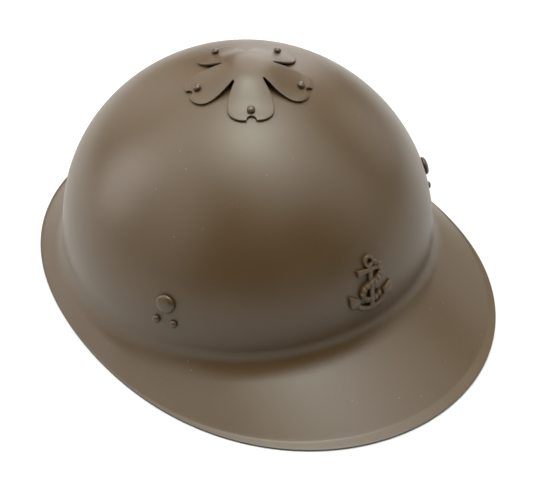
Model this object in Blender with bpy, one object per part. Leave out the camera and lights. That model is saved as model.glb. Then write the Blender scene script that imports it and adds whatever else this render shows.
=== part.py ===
# Steel helmet: a pressed shell with a long front visor, a five-petal vent cover on the crown,
# rivets for the cover, the lining and the chin strap, and an anchor badge on the front.
# Lengths are in metres. The front of the helmet faces -Y, +Z is up, and the rim stands on Z = 0.
# The origin is under the middle of the rim's length, so the bowl's axis stands a little behind it:
# every piece is shaped about the bowl's axis and hangs from one empty that stands on that axis.
# Angles round the helmet are measured from the front, positive towards +X.

import math

import bmesh
import bpy
from mathutils import Matrix, Vector

MM = 0.001

# Bowl of the shell: a superellipsoid above its widest line, straight below it
HALF_WIDTH = 104.0 * MM
HALF_LENGTH = 106.5 * MM
WIDEST_HEIGHT = 23.5 * MM
CROWN_RISE = 102.5 * MM
SIDE_POWER = 1.86
CROWN_POWER = 2.08
SHEET = 1.2 * MM

# Brim: its reach out from the bowl, how much the visor narrows at its corners,
# and the height of the crease between bowl and brim
VISOR_DEPTH = 52.3 * MM
SIDE_BRIM = 11.2 * MM
REAR_BRIM = 29.7 * MM
VISOR_TAPER = 1.0 * MM
CREASE_FRONT = 21.0 * MM
CREASE_SIDE = 16.0 * MM
CREASE_FILLET = 12.0 * MM
FILLET_LIMIT = 0.45
BRIM_CROWN = 0.6 * MM

# Flattened lip round the rim, full width at the front of the visor, and the foot it stands on
LIP_WIDTH = 6.0 * MM
LIP_SLOPE = math.radians(8.0)
RIM_FOOT = 1.2 * MM

# The bowl's axis, set so that the rim reaches as far in front of the origin as behind it
BOWL_AXIS_Y = (VISOR_DEPTH - REAR_BRIM) / 2.0

# Vent cover: petals cut from one sheet, which rises smoothly from the rivets
# to the hub over the vents.
RIVET_CIRCLE = 27.4 * MM
COVER_FORWARD = 2.6 * MM
COVER_TURN = math.radians(1.2)
COVER_SHEET = 1.1 * MM
COVER_SEAT = 0.45 * MM
HUB_RISE = 5.0 * MM
HUB_TOP_RADIUS = 5.0 * MM
HUB_FOOT_RADIUS = 29.0 * MM
PETALS = 5
VENT_CIRCLE = 7.5 * MM
VENT_RADIUS = 2.5 * MM

# Outline of half a petal, from the gap beside it to the notch in its tip.
# Columns: distance out from the hub, distance off the petal's axis, as shares of RIVET_CIRCLE.
PETAL_OUTLINE = [
    (0.380, 0.276),
    (0.620, 0.362),
    (0.800, 0.412),
    (0.950, 0.428),
    (1.060, 0.395),
    (1.135, 0.325),
    (1.185, 0.225),
    (1.203, 0.100),
    (1.150, 0.082),
    (1.115, 0.045),
]
PETAL_NOTCH = 1.105

# Rings of the cover's mesh: on the hub, as shares of the radius where the gaps end,
# and on the petals, as shares of the way from the last of those to the outline
HUB_RINGS = (0.6, 0.9)
PETAL_RINGS = (0.2, 0.6)

# Fasteners: head, shank and tail of each kind of rivet, and where they sit
CLEARANCE = 0.3 * MM
SMALL_HEAD_RADIUS = 2.1 * MM
SMALL_HEAD_HEIGHT = 1.9 * MM
SMALL_SHANK_RADIUS = 1.1 * MM
SMALL_TAIL_RADIUS = 2.0 * MM
LARGE_HEAD_RADIUS = 5.2 * MM
LARGE_HEAD_HEIGHT = 2.6 * MM
LARGE_SHANK_RADIUS = 2.0 * MM
LARGE_TAIL_RADIUS = 4.0 * MM
TAIL_HEIGHT = 1.0 * MM
TAIL_SEAT = 0.6 * MM
FRONT_GROUP_ANGLE = math.radians(61.8)
REAR_LINER_ANGLE = math.radians(152.0)
REAR_STRAP_ANGLE = math.radians(141.5)
LINER_RIVET_HEIGHT = 50.0 * MM
STRAP_RIVET_HEIGHT = 39.5 * MM
REAR_STRAP_HEIGHT = 34.5 * MM
STRAP_RIVET_SPACING = 9.5 * MM

# Shapes that both kinds of rivet share: the upright rim under the dome, as a share of the head's
# height, and the foot of the head and the end of the tail, as shares of their radii
HEAD_RIM = 0.3
HEAD_FOOT = 0.96
TAIL_END = 0.85

# Anchor badge, pressed from sheet and curved to the bowl
BADGE_SIZE = 30.0 * MM
BADGE_HEIGHT = 52.0 * MM
BADGE_TILT = math.radians(5.0)
BADGE_RELIEF = 2.2 * MM

# Each bar of the anchor is a row of stations along its middle line.
# Columns: across, up, half width, as shares of BADGE_SIZE, then relief as a share of BADGE_RELIEF.
ANCHOR_SHANK = [
    (0.00, -0.45, 0.055, 0.8),
    (0.00, -0.22, 0.048, 0.8),
    (0.00, 0.00, 0.044, 0.8),
    (0.00, 0.18, 0.040, 0.8),
    (0.00, 0.34, 0.036, 0.7),
]
ANCHOR_STOCK = [
    (-0.26, 0.26, 0.060, 0.9),
    (-0.20, 0.26, 0.048, 0.8),
    (-0.08, 0.26, 0.040, 0.8),
    (0.08, 0.26, 0.040, 0.8),
    (0.20, 0.26, 0.048, 0.8),
    (0.26, 0.26, 0.060, 0.9),
]
ANCHOR_ROPE = [
    (0.06, 0.38, 0.036, 0.8),
    (0.17, 0.32, 0.040, 0.9),
    (0.21, 0.17, 0.040, 0.9),
    (0.11, 0.06, 0.040, 1.1),
    (-0.03, 0.01, 0.040, 1.2),
    (-0.16, -0.05, 0.040, 1.0),
    (-0.20, -0.17, 0.040, 0.9),
    (-0.10, -0.27, 0.040, 1.1),
    (0.05, -0.28, 0.040, 1.1),
    (0.18, -0.20, 0.036, 0.9),
]

# A fluke at the end of each arm.
# Columns: place along the fluke, half width and relief, as shares of its length, its half width
# and BADGE_RELIEF.
ANCHOR_FLUKE = [
    (-0.45, 0.35, 0.8),
    (-0.15, 1.00, 1.0),
    (0.30, 0.55, 0.9),
    (0.60, 0.08, 0.7),
]

# Arms, flukes and ring, as shares of BADGE_SIZE and BADGE_RELIEF
ARM_RADIUS = 0.43
ARM_CENTRE_UP = -0.02
ARM_SWEEP = math.radians(58.0)
ARM_HALF_WIDTH = 0.050
ARM_RELIEF = 0.9
FLUKE_LENGTH = 0.27
FLUKE_HALF_WIDTH = 0.105
RING_RADIUS = 0.080
RING_CENTRE_UP = 0.41
RING_HALF_WIDTH = 0.030
RING_RELIEF = 0.8

# Section of a bar, from one foot over its back to the other.
# Columns: place across, as a share of its half width, and height, as a share of its relief.
BAR_SECTION = [(-1.0, 0.0), (-1.0, 0.5), (-0.55, 1.0), (0.55, 1.0), (1.0, 0.5), (1.0, 0.0)]

# Steps that settle a point of the badge on the bowl
WRAP_STEPS = 6

# Counts of facets
SHELL_SIDES = 60
BOWL_ROWS = 13
FILLET_ROWS = 4
SMALL_SIDES = 10
LARGE_SIDES = 14
HOLE_SIDES = 8
ARM_STATIONS = 9
RING_STATIONS = 10
CUTTER_REACH = 12.0 * MM

# Paint colours, linear RGB
PAINT = (0.115, 0.088, 0.062)
PAINT_COVER = (0.125, 0.097, 0.070)
PAINT_RIVET = (0.105, 0.082, 0.060)
PAINT_BADGE = (0.085, 0.066, 0.048)


def clear_scene():
    for old in list(bpy.data.objects):
        bpy.data.objects.remove(old, do_unlink=True)


def add_axis():
    """The empty on the bowl's axis that carries every piece."""
    axis = bpy.data.objects.new("bowl_axis", None)
    axis.location = (0.0, BOWL_AXIS_Y, 0.0)
    bpy.context.scene.collection.objects.link(axis)


def link_on_axis(made):
    bpy.context.scene.collection.objects.link(made)
    made.parent = bpy.data.objects["bowl_axis"]


def paint(name, colour, roughness):
    """A satin paint of its own for each object."""
    material = bpy.data.materials.new(name + "_paint")
    material.use_nodes = True
    shader = material.node_tree.nodes["Principled BSDF"]
    shader.inputs["Base Color"].default_value = (*colour, 1.0)
    shader.inputs["Roughness"].default_value = roughness
    shader.inputs["Metallic"].default_value = 0.0
    return material


def add_object(name, bm, colour, roughness=0.45, sharp_angle=math.radians(35.0)):
    """Close a bmesh into a named, painted object."""
    bmesh.ops.recalc_face_normals(bm, faces=bm.faces)
    mesh = bpy.data.meshes.new(name)
    bm.to_mesh(mesh)
    bm.free()
    mesh.shade_smooth()
    mesh.set_sharp_from_angle(angle=sharp_angle)
    mesh.materials.append(paint(name, colour, roughness))
    made = bpy.data.objects.new(name, mesh)
    link_on_axis(made)
    return made


def add_cutter(name, bm):
    """A guide that is only used as a Boolean operand."""
    mesh = bpy.data.meshes.new(name)
    bmesh.ops.recalc_face_normals(bm, faces=bm.faces)
    bm.to_mesh(mesh)
    bm.free()
    cutter = bpy.data.objects.new(name, mesh)
    cutter.display_type = "WIRE"
    cutter.hide_render = True
    link_on_axis(cutter)
    return cutter


def combine(target, operand, operation):
    """Join an operand to a target, or cut it out, with a Boolean that stays on the target."""
    modifier = target.modifiers.new(operation.title() + "_" + operand.name, "BOOLEAN")
    modifier.operation = operation
    modifier.solver = "EXACT"
    modifier.object = operand


# Bowl surface, which the cover, the rivets and the badge all follow


def plan_point(angle):
    """The bowl's outline from above, at its widest."""
    return Vector((HALF_WIDTH * math.sin(angle), -HALF_LENGTH * math.cos(angle), 0.0))


def plan_normal(angle):
    across = math.sin(angle) / HALF_WIDTH
    ahead = -math.cos(angle) / HALF_LENGTH
    return Vector((across, ahead, 0.0)).normalized()


def bowl_share(height):
    """How much of the widest outline the bowl fills at a height above the rim."""
    rise = min(1.0, max(0.0, height - WIDEST_HEIGHT) / CROWN_RISE)
    return (1.0 - rise**CROWN_POWER) ** (1.0 / SIDE_POWER)


def bowl_point(angle, height):
    point = plan_point(angle) * bowl_share(height)
    point.z = height
    return point


def crown_point(x, y):
    """The bowl's outer face straight above a place in plan."""
    share = min(1.0, math.hypot(x / HALF_WIDTH, y / HALF_LENGTH))
    rise = (1.0 - share**SIDE_POWER) ** (1.0 / CROWN_POWER)
    return Vector((x, y, WIDEST_HEIGHT + CROWN_RISE * rise))


def bowl_normal(point):
    """Outward direction of the bowl, from the gradient of its superellipsoid."""
    share = math.hypot(point.x / HALF_WIDTH, point.y / HALF_LENGTH)
    rise = max(0.0, point.z - WIDEST_HEIGHT) / CROWN_RISE
    spread = SIDE_POWER * share ** (SIDE_POWER - 2.0) if share > 0.0 else 0.0
    across = spread * point.x / HALF_WIDTH**2
    ahead = spread * point.y / HALF_LENGTH**2
    upward = CROWN_POWER * rise ** (CROWN_POWER - 1.0) / CROWN_RISE
    return Vector((across, ahead, upward)).normalized()


def seat_frame(point):
    """Axes on the bowl: X level, Y up the wall and Z straight out, with the origin at the point."""
    out = bowl_normal(point)
    level = Vector((0.0, 0.0, 1.0)).cross(out)
    if level.length == 0.0:
        level = Vector((1.0, 0.0, 0.0))
    level.normalize()
    up = out.cross(level)
    frame = Matrix((level, up, out)).transposed().to_4x4()
    frame.translation = point
    return frame


# Shell


def between_three(angle, front, side, rear):
    """A value that runs smoothly from the front, past the side, to the rear."""
    middle = (front + rear) / 4.0 + side / 2.0
    swing = (front + rear) / 4.0 - side / 2.0
    return middle + (front - rear) / 2.0 * math.cos(angle) + swing * math.cos(2.0 * angle)


def shell_profile(angle):
    """Points down the outer face at one angle, from below the crown to the rim's top edge."""
    reach = between_three(angle, VISOR_DEPTH, SIDE_BRIM, REAR_BRIM)
    reach += VISOR_TAPER * (math.cos(3.0 * angle) - math.cos(angle))
    crease_height = between_three(angle, CREASE_FRONT, CREASE_SIDE, CREASE_FRONT)
    lip = LIP_WIDTH * reach / VISOR_DEPTH
    crease = plan_point(angle)
    outward = plan_normal(angle)
    lip_start = crease + outward * (reach - lip)
    lip_start.z = SHEET + lip * math.tan(LIP_SLOPE)
    crease.z = crease_height
    edge = plan_point(angle) + outward * reach
    edge.z = SHEET
    slope = lip_start - crease
    leg = min(CREASE_FILLET, FILLET_LIMIT * slope.length)

    # Bowl rows, closer together where the crown turns down into the wall
    wall_foot = crease_height + leg
    top = WIDEST_HEIGHT + CROWN_RISE
    points = []
    for row in range(1, BOWL_ROWS + 1):
        turn = 0.5 * math.pi * row / BOWL_ROWS
        drop = 1.0 - max(0.0, math.cos(turn)) ** (2.0 / CROWN_POWER)
        points.append(bowl_point(angle, top - (top - wall_foot) * drop))

    # Fillet in the crease, a quadratic curve from the wall to the brim
    brim_start = crease + slope.normalized() * leg
    for row in range(1, FILLET_ROWS + 1):
        t = row / FILLET_ROWS
        points.append(points[BOWL_ROWS - 1] * (1.0 - t) ** 2 + crease * 2.0 * t * (1.0 - t) + brim_start * t**2)

    # Brim with a slight crown to it, its lip and the rim's top edge
    middle = (brim_start + lip_start) / 2.0
    middle.z += BRIM_CROWN * reach / VISOR_DEPTH
    points += [middle, lip_start, edge]
    return points


def bridge(bm, upper, lower):
    """Quads between two closed rings of the same length."""
    count = len(upper)
    for i in range(count):
        j = (i + 1) % count
        bm.faces.new((upper[i], upper[j], lower[j], lower[i]))


def fan(bm, centre, ring):
    count = len(ring)
    for i in range(count):
        bm.faces.new((centre, ring[i], ring[(i + 1) % count]))


def shell_mesh():
    bm = bmesh.new()
    angles = [2.0 * math.pi * i / SHELL_SIDES for i in range(SHELL_SIDES)]
    profiles = [shell_profile(angle) for angle in angles]
    top = bm.verts.new((0.0, 0.0, WIDEST_HEIGHT + CROWN_RISE))
    outer = [[bm.verts.new(profile[row]) for profile in profiles] for row in range(len(profiles[0]))]
    fan(bm, top, outer[0])
    for upper, lower in zip(outer, outer[1:]):
        bridge(bm, upper, lower)
    bmesh.ops.recalc_face_normals(bm, faces=bm.faces)
    bm.normal_update()
    if top.normal.z < 0.0:
        bmesh.ops.reverse_faces(bm, faces=bm.faces)
        bm.normal_update()

    # The inner face is one sheet inside the outer one, down to where the lip starts
    inner_top = bm.verts.new(top.co - top.normal * SHEET)
    inner = [[bm.verts.new(v.co - v.normal * SHEET) for v in ring] for ring in outer[:-1]]
    fan(bm, inner_top, inner[0])
    for upper, lower in zip(inner, inner[1:]):
        bridge(bm, upper, lower)

    # The rim's edge drops to a narrow flat foot all round
    edge_ring = []
    foot_ring = []
    for angle, vertex in zip(angles, outer[-1]):
        outward = plan_normal(angle)
        edge_ring.append(bm.verts.new((vertex.co.x, vertex.co.y, 0.0)))
        foot = vertex.co - outward * RIM_FOOT
        foot_ring.append(bm.verts.new((foot.x, foot.y, 0.0)))
    bridge(bm, outer[-1], edge_ring)
    bridge(bm, edge_ring, foot_ring)
    bridge(bm, foot_ring, inner[-1])
    return bm


# Rivets


def turned(bm, profile, frame, sides):
    """A solid turned about the frame's Z axis; the profile's ends lie on the axis."""
    ends = [bm.verts.new(frame @ Vector((0.0, 0.0, profile[k][1]))) for k in (0, -1)]
    rings = []
    for radius, height in profile[1:-1]:
        ring = []
        for i in range(sides):
            turn = 2.0 * math.pi * i / sides
            spot = Vector((radius * math.cos(turn), radius * math.sin(turn), height))
            ring.append(bm.verts.new(frame @ spot))
        rings.append(ring)
    fan(bm, ends[0], rings[0])
    for upper, lower in zip(rings, rings[1:]):
        bridge(bm, upper, lower)
    fan(bm, ends[1], rings[-1])


def add_rivet(name, frame, stack, head, shank_radius, tail_radius, sides, dome_rows):
    """A rivet whose head clears what it holds, stack above the bowl, and whose tail is inside."""
    head_radius, head_height = head
    base = stack + CLEARANCE
    rim = head_height * HEAD_RIM
    profile = [(0.0, base + head_height)]
    for row in range(1, dome_rows + 1):
        turn = 0.5 * math.pi * row / dome_rows
        profile.append((head_radius * math.sin(turn), base + rim + (head_height - rim) * math.cos(turn)))
    tail_top = -(SHEET + TAIL_SEAT)
    profile += [
        (head_radius * HEAD_FOOT, base),
        (shank_radius, base),
        (shank_radius, tail_top),
        (tail_radius, tail_top),
        (tail_radius * TAIL_END, tail_top - TAIL_HEIGHT),
        (0.0, tail_top - TAIL_HEIGHT),
    ]
    bm = bmesh.new()
    turned(bm, profile, frame, sides)
    return add_object(name, bm, PAINT_RIVET, roughness=0.4)


def hole(bm, frame, radius):
    """A round cutter along the frame's Z axis, through the shell and what lies on it."""
    ends = [(0.0, CUTTER_REACH), (radius, CUTTER_REACH), (radius, -CUTTER_REACH), (0.0, -CUTTER_REACH)]
    turned(bm, ends, frame, HOLE_SIDES)


def cover_frames(circle, half_step):
    """Seats on the crown in a circle round the cover's centre, on the petals or between them."""
    frames = []
    for k in range(PETALS):
        turn = COVER_TURN + 2.0 * math.pi * (k + half_step) / PETALS
        x = circle * math.sin(turn)
        y = -COVER_FORWARD - circle * math.cos(turn)
        frames.append(seat_frame(crown_point(x, y)))
    return frames


def strap_frames(angle, height):
    """Seats for the two strap rivets below a lining rivet, side by side on the wall."""
    middle = seat_frame(bowl_point(angle, height))
    frames = []
    for side in (-0.5, 0.5):
        spot = middle @ Vector((side * STRAP_RIVET_SPACING, 0.0, 0.0))
        frames.append(seat_frame(bowl_point(math.atan2(spot.x / HALF_WIDTH, -spot.y / HALF_LENGTH), spot.z)))
    return frames


# Vent cover


def cover_lift(distance):
    """Height of the cover's underside above the bowl at a distance from the hub's middle."""
    share = min(1.0, max(0.0, (distance - HUB_TOP_RADIUS) / (HUB_FOOT_RADIUS - HUB_TOP_RADIUS)))
    return COVER_SEAT + HUB_RISE * (1.0 - share * share * (3.0 - 2.0 * share))


def petal_outline():
    """Polar outline of the whole cover, turn by turn, with one notch in each petal."""
    half = [(out * RIVET_CIRCLE, off * RIVET_CIRCLE) for out, off in PETAL_OUTLINE]
    petal = [(out, -off) for out, off in half]
    petal.append((PETAL_NOTCH * RIVET_CIRCLE, 0.0))
    petal += [(out, off) for out, off in reversed(half)]
    outline = []
    for k in range(PETALS):
        axis = COVER_TURN + 2.0 * math.pi * (k + 0.5) / PETALS
        for out, off in petal:
            outline.append((axis + math.atan2(off, out), math.hypot(out, off)))
    return outline


def cover_point(turn, distance, lift):
    """A point over the crown, lift above the cover's underside."""
    base = crown_point(distance * math.sin(turn), -COVER_FORWARD - distance * math.cos(turn))
    return base + bowl_normal(base) * (cover_lift(distance) + lift)


def cover_mesh():
    """Two sheets of rings, round on the hub and drawn out into the petals, joined at the outline."""
    bm = bmesh.new()
    outline = petal_outline()
    hub = min(radius for turn, radius in outline)
    edges = []
    for lift in (COVER_SHEET, 0.0):
        rings = [[(turn, hub * share) for turn, radius in outline] for share in HUB_RINGS]
        inner = hub * HUB_RINGS[-1]
        rings += [[(turn, inner + (radius - inner) * share) for turn, radius in outline] for share in PETAL_RINGS]
        rings.append(outline)
        rings = [[bm.verts.new(cover_point(turn, distance, lift)) for turn, distance in ring] for ring in rings]
        fan(bm, bm.verts.new(cover_point(0.0, 0.0, lift)), rings[0])
        for upper, lower in zip(rings, rings[1:]):
            bridge(bm, upper, lower)
        edges.append(rings[-1])
    bridge(bm, edges[0], edges[1])
    return bm


# Anchor badge


def bar(bm, stations, closed=False):
    """A low bar with a rounded back along a row of stations, flat on its underside."""
    rows = []
    count = len(stations)
    for i, (across, up, half, relief) in enumerate(stations):
        before = stations[(i - 1) % count] if closed else stations[max(i - 1, 0)]
        after = stations[(i + 1) % count] if closed else stations[min(i + 1, count - 1)]
        along = Vector((after[0] - before[0], after[1] - before[1])).normalized()
        side = Vector((-along.y, along.x)) * half * BADGE_SIZE
        middle = Vector((across, up)) * BADGE_SIZE
        height = relief * BADGE_RELIEF
        row = []
        for share, lift in BAR_SECTION:
            spot = middle + side * share
            row.append(bm.verts.new((spot.x, spot.y, lift * height)))
        rows.append(row)
    for first, second in zip(rows, rows[1:]):
        bridge(bm, first, second)
    if closed:
        bridge(bm, rows[-1], rows[0])
    else:
        bm.faces.new(rows[0])
        bm.faces.new(rows[-1])


def arm_stations():
    """The curved arms, from one fluke to the other through the foot of the shank."""
    stations = []
    for i in range(ARM_STATIONS):
        turn = ARM_SWEEP * (2.0 * i / (ARM_STATIONS - 1) - 1.0)
        across = ARM_RADIUS * math.sin(turn)
        up = ARM_CENTRE_UP - ARM_RADIUS * math.cos(turn)
        stations.append((across, up, ARM_HALF_WIDTH, ARM_RELIEF))
    return stations


def fluke_stations(side):
    """A spade-shaped fluke on the end of one arm."""
    root = Vector((ARM_RADIUS * math.sin(ARM_SWEEP), ARM_CENTRE_UP - ARM_RADIUS * math.cos(ARM_SWEEP)))
    along = Vector((math.cos(ARM_SWEEP), math.sin(ARM_SWEEP))) * FLUKE_LENGTH
    stations = []
    for share, width, relief in ANCHOR_FLUKE:
        spot = root + along * share
        stations.append((side * spot.x, spot.y, FLUKE_HALF_WIDTH * width, relief))
    return stations


def ring_stations():
    stations = []
    for i in range(RING_STATIONS):
        turn = 2.0 * math.pi * i / RING_STATIONS
        across = RING_RADIUS * math.sin(turn)
        up = RING_CENTRE_UP + RING_RADIUS * math.cos(turn)
        stations.append((across, up, RING_HALF_WIDTH, RING_RELIEF))
    return stations


def wrap_on_bowl(spot, frame):
    """Take a point of the flat badge to the bowl, keeping its height above the surface."""
    flat = frame @ Vector((spot.x, spot.y, 0.0))
    out = frame.to_3x3() @ Vector((0.0, 0.0, 1.0))
    base = flat.copy()
    for _ in range(WRAP_STEPS):
        share = math.hypot(base.x / HALF_WIDTH, base.y / HALF_LENGTH)
        base -= out * (share - bowl_share(base.z)) * HALF_LENGTH
    return base + bowl_normal(base) * (CLEARANCE + spot.z)


def add_badge():
    parts = [(ANCHOR_STOCK, False), (arm_stations(), False), (fluke_stations(-1.0), False)]
    parts += [(fluke_stations(1.0), False), (ring_stations(), True), (ANCHOR_ROPE, False)]
    bm = bmesh.new()
    bar(bm, ANCHOR_SHANK)
    badge = add_object("anchor_badge", bm, PAINT_BADGE, roughness=0.5)
    operands = []
    for k, (stations, closed) in enumerate(parts):
        bm = bmesh.new()
        bar(bm, stations, closed)
        operands.append(add_cutter("anchor_bar_" + str(k), bm))
        combine(badge, operands[-1], "UNION")

    # Join the bars while they lie flat, then curve the whole badge to the bowl
    graph = bpy.context.evaluated_depsgraph_get()
    joined = bpy.data.meshes.new_from_object(badge.evaluated_get(graph))
    badge.modifiers.clear()
    badge.data = joined
    for operand in operands:
        bpy.data.objects.remove(operand, do_unlink=True)
    frame = seat_frame(bowl_point(0.0, BADGE_HEIGHT)) @ Matrix.Rotation(-BADGE_TILT, 4, "Z")
    for vertex in joined.vertices:
        vertex.co = wrap_on_bowl(vertex.co, frame)
    return badge


def build():
    clear_scene()
    add_axis()
    shell = add_object("shell", shell_mesh(), PAINT)
    cover = add_object("vent_cover", cover_mesh(), PAINT_COVER)
    small_head = (SMALL_HEAD_RADIUS, SMALL_HEAD_HEIGHT)
    large_head = (LARGE_HEAD_RADIUS, LARGE_HEAD_HEIGHT)
    small_hole = SMALL_SHANK_RADIUS + CLEARANCE
    large_hole = LARGE_SHANK_RADIUS + CLEARANCE
    shell_holes = bmesh.new()
    cover_holes = bmesh.new()

    # Rivets that hold the cover, clear of it on the side where it rises, and the vents under its hub
    stack = cover_lift(RIVET_CIRCLE - SMALL_HEAD_RADIUS) + COVER_SHEET
    for k, frame in enumerate(cover_frames(RIVET_CIRCLE, 0.5)):
        name = "vent_rivet_" + str(k + 1)
        add_rivet(name, frame, stack, small_head, SMALL_SHANK_RADIUS, SMALL_TAIL_RADIUS, SMALL_SIDES, 2)
        hole(shell_holes, frame, small_hole)
        hole(cover_holes, frame, small_hole)
    for frame in cover_frames(VENT_CIRCLE, 0.0):
        hole(shell_holes, frame, VENT_RADIUS)

    # Four groups on the wall: one large lining rivet and two small strap rivets below it,
    # which stand lower and nearer the front in the rear groups
    front = (FRONT_GROUP_ANGLE, FRONT_GROUP_ANGLE, STRAP_RIVET_HEIGHT)
    rear = (REAR_LINER_ANGLE, REAR_STRAP_ANGLE, REAR_STRAP_HEIGHT)
    groups = [("front_right", -1.0, front), ("front_left", 1.0, front)]
    groups += [("rear_right", -1.0, rear), ("rear_left", 1.0, rear)]
    for place, side, (angle, strap_angle, strap_height) in groups:
        frame = seat_frame(bowl_point(side * angle, LINER_RIVET_HEIGHT))
        name = "liner_rivet_" + place
        add_rivet(name, frame, 0.0, large_head, LARGE_SHANK_RADIUS, LARGE_TAIL_RADIUS, LARGE_SIDES, 3)
        hole(shell_holes, frame, large_hole)
        for k, frame in enumerate(strap_frames(side * strap_angle, strap_height)):
            name = "strap_rivet_" + place + "_" + str(k + 1)
            add_rivet(name, frame, 0.0, small_head, SMALL_SHANK_RADIUS, SMALL_TAIL_RADIUS, SMALL_SIDES, 2)
            hole(shell_holes, frame, small_hole)
    combine(shell, add_cutter("shell_holes", shell_holes), "DIFFERENCE")
    combine(cover, add_cutter("cover_holes", cover_holes), "DIFFERENCE")
    add_badge()


build()
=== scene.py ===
# Steel helmet, dressed: fine meshes and satin olive-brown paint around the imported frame.
# Lengths are in metres, in the frame's own axes: the visor faces -Y and the rim stands on Z = 0.
# Angles round the helmet are measured from the front, positive towards +X.

import math

import bmesh
import bpy
from mathutils import Matrix, Vector, noise


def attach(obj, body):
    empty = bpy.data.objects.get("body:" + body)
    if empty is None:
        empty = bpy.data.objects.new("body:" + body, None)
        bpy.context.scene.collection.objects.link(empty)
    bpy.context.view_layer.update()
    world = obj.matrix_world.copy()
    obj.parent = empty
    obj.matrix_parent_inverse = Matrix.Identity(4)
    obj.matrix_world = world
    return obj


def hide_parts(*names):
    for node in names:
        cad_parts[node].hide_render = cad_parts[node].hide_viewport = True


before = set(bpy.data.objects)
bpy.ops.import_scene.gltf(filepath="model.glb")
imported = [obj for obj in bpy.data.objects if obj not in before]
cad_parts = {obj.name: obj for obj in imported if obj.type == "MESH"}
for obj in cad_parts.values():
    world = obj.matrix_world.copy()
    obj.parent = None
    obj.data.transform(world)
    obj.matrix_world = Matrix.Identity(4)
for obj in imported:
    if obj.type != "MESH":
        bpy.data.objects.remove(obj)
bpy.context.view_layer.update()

MM = 0.001

# Bowl of the shell
HALF_WIDTH = 104.0 * MM
HALF_LENGTH = 106.5 * MM
WIDEST_HEIGHT = 23.5 * MM
CROWN_RISE = 102.5 * MM
SIDE_POWER = 1.86
CROWN_POWER = 2.08
SHEET = 1.2 * MM

# Brim, crease and lip
VISOR_DEPTH = 52.3 * MM
SIDE_BRIM = 11.2 * MM
REAR_BRIM = 29.7 * MM
VISOR_TAPER = 1.0 * MM
CREASE_FRONT = 21.0 * MM
CREASE_SIDE = 16.0 * MM
CREASE_FILLET = 10.0 * MM
FILLET_LIMIT = 0.45
BRIM_CROWN = 0.1 * MM
LIP_WIDTH = 6.0 * MM
LIP_FADE = 1.7
LIP_SLOPE = math.radians(8.0)
LIP_BEND = 0.7 * MM
LIP_BEND_LIMIT = 0.3
RIM_FOOT = 1.2 * MM
RIM_ROUND = 0.35 * MM
RIM_EASE = 0.04 * MM

# Corners of the rim's cut edge, from its top to its foot, as shares of RIM_ROUND.
# Columns: distance in from the edge, then distance down from the top or, in RIM_BOTTOM, up.
RIM_TOP = [(0.12, 0.20), (0.0, 0.84)]
RIM_BOTTOM = [(0.0, 1.0), (0.3, 0.3), (1.0, 0.0)]

# The bowl's axis stands behind the frame's origin
BOWL_AXIS = Vector((0.0, (VISOR_DEPTH - REAR_BRIM) / 2.0, 0.0))

# Vent cover
RIVET_CIRCLE = 27.4 * MM
COVER_FORWARD = 2.6 * MM
COVER_TURN = math.radians(1.2)
COVER_SHEET = 1.1 * MM
COVER_SEAT = 0.45 * MM
COVER_EDGE = 0.3 * MM
COVER_EDGE_TURN = 0.3
HUB_RISE = 4.92 * MM
HUB_TOP_RADIUS = 5.0 * MM
HUB_FOOT_RADIUS = 29.0 * MM
PETALS = 5
VENT_CIRCLE = 7.5 * MM
VENT_RADIUS = 2.5 * MM

# Lobe of half a petal, from the gap's root to the tip's corner, as shares of RIVET_CIRCLE.
# Columns: distance out from the hub, distance off the petal's axis.
PETAL_LOBE = [
    (0.620, 0.362),
    (0.800, 0.412),
    (0.950, 0.428),
    (1.060, 0.395),
    (1.135, 0.325),
    (1.185, 0.225),
    (1.200, 0.130),
]
PETAL_CORNER = (1.201, 0.094)

# The notch in a petal's tip: its rounded corner, its centre and its radius, in the same shares
NOTCH_CORNER = [(1.2020, 0.1060), (1.2010, 0.0965), (1.1955, 0.0905)]
NOTCH_CENTRE = 1.195
NOTCH_RADIUS = 0.090

# Where the gap before each petal ends and its rounded root's radius, as shares of RIVET_CIRCLE
GAP_ENDS = (0.425, 0.475, 0.480, 0.490, 0.470)
GAP_ROOT = 0.024

# Rivets
CLEARANCE = 0.3 * MM
SMALL_HEAD_RADIUS = 2.1 * MM
SMALL_HEAD_HEIGHT = 1.9 * MM
SMALL_HEAD_FLATNESS = 1.1
SMALL_SHANK_RADIUS = 1.1 * MM
SMALL_TAIL_RADIUS = 2.0 * MM
LARGE_HEAD_RADIUS = 5.2 * MM
LARGE_HEAD_HEIGHT = 2.6 * MM
LARGE_HEAD_FLATNESS = 1.35
LARGE_SHANK_RADIUS = 2.0 * MM
LARGE_TAIL_RADIUS = 4.0 * MM
TAIL_HEIGHT = 1.0 * MM
TAIL_SEAT = 0.6 * MM
FRONT_GROUP_ANGLE = math.radians(61.8)
REAR_LINER_ANGLE = math.radians(152.0)
REAR_STRAP_ANGLE = math.radians(141.5)
LINER_RIVET_HEIGHT = 50.0 * MM
STRAP_RIVET_HEIGHT = 39.5 * MM
REAR_STRAP_HEIGHT = 34.5 * MM
STRAP_RIVET_SPACING = 9.5 * MM

# Low rim under a rivet's dome: its height as a share of the head's, then the corners at its foot.
# Columns: distance out as a share of the head's radius, height as a share of the rim's.
HEAD_RIM = 0.28
HEAD_FOOT = [(1.0, 0.4), (0.97, 0.1), (0.93, 0.0)]

# A rivet's tail inside the helmet, down from its seat.
# Columns: distance out as a share of the tail's radius, depth as a share of TAIL_HEIGHT.
RIVET_TAIL = [(0.96, 0.0), (1.0, 0.2), (0.96, 0.6), (0.8, 0.9), (0.5, 1.0), (0.0, 1.0)]

# Anchor badge
BADGE_SIZE = 30.0 * MM
BADGE_HEIGHT = 52.0 * MM
BADGE_TILT = math.radians(5.0)
BADGE_RELIEF = 2.2 * MM

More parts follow.
